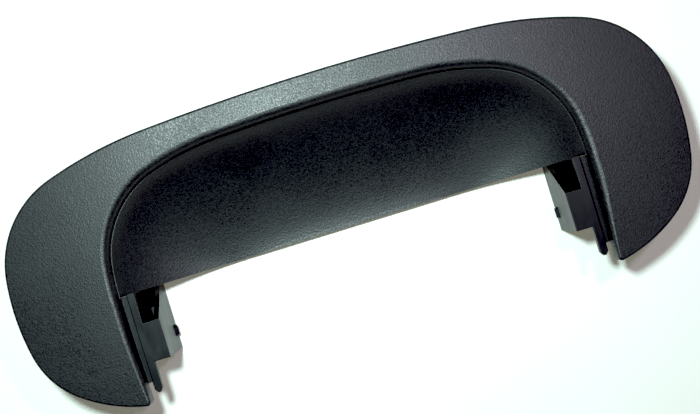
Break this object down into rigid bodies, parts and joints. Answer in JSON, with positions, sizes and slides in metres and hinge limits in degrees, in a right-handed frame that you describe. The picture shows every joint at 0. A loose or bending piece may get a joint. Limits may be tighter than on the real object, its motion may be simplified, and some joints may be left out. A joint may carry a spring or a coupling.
{
  "type": "pull handle surround",
  "caption": "Grained surround of a rear-door pull handle: rim with finger scoop, guide brackets with sprung lock tongues, panel clips and inserts.",
  "frame": {"origin": "middle of the outline, on the plane that the part lies on when put down on its back", "axes": "+X along the handle, +Y towards the crest of the rim, +Z out of the door through the front face"},
  "size_m": [0.263, 0.102, 0.032],
  "materials": {
    "grained_plastic": "fine grained, satin",
    "bracket_plastic": "smooth, satin",
    "spring_steel": "blackened",
    "pin_steel": "ground",
    "screw_steel": "zinc plated",
    "gasket_foam": "closed-cell foam",
    "insert_brass": "knurled",
    "clip_plastic": "natural nylon"
  },
  "bodies": {
    "surround": {"rim_cover": "grained_plastic", "finger_scoop": "grained_plastic", "left_guide_bracket": "bracket_plastic", "right_guide_bracket": "bracket_plastic", "left_tongue_pin": "pin_steel", "right_tongue_pin": "pin_steel", "rim_gasket": "gasket_foam", "scoop_seal": "gasket_foam", "scoop_screws": "screw_steel", "left_bracket_screws": "screw_steel", "right_bracket_screws": "screw_steel", "left_threaded_insert": "insert_brass", "right_threaded_insert": "insert_brass", "upper_left_clip": "clip_plastic", "upper_right_clip": "clip_plastic", "lower_left_clip": "clip_plastic", "lower_right_clip": "clip_plastic", "clip_seals": "gasket_foam"},
    "left_tongue": {"left_lock_tongue": "spring_steel"},
    "right_tongue": {"right_lock_tongue": "spring_steel"}
  },
  "joints": [
    {"name": "left_tongue_hinge", "type": "hinge", "parent": "surround", "child": "left_tongue", "pos_m": [-0.0847, -0.0285, 0.0185], "axis": [0, 1, 0], "range_deg": [0, 8], "stiffness_Nm_per_rad": 0.05},
    {"name": "right_tongue_hinge", "type": "hinge", "parent": "surround", "child": "right_tongue", "pos_m": [0.0847, -0.0285, 0.0185], "axis": [0, -1, 0], "range_deg": [0, 8], "stiffness_Nm_per_rad": 0.05}
  ]
}
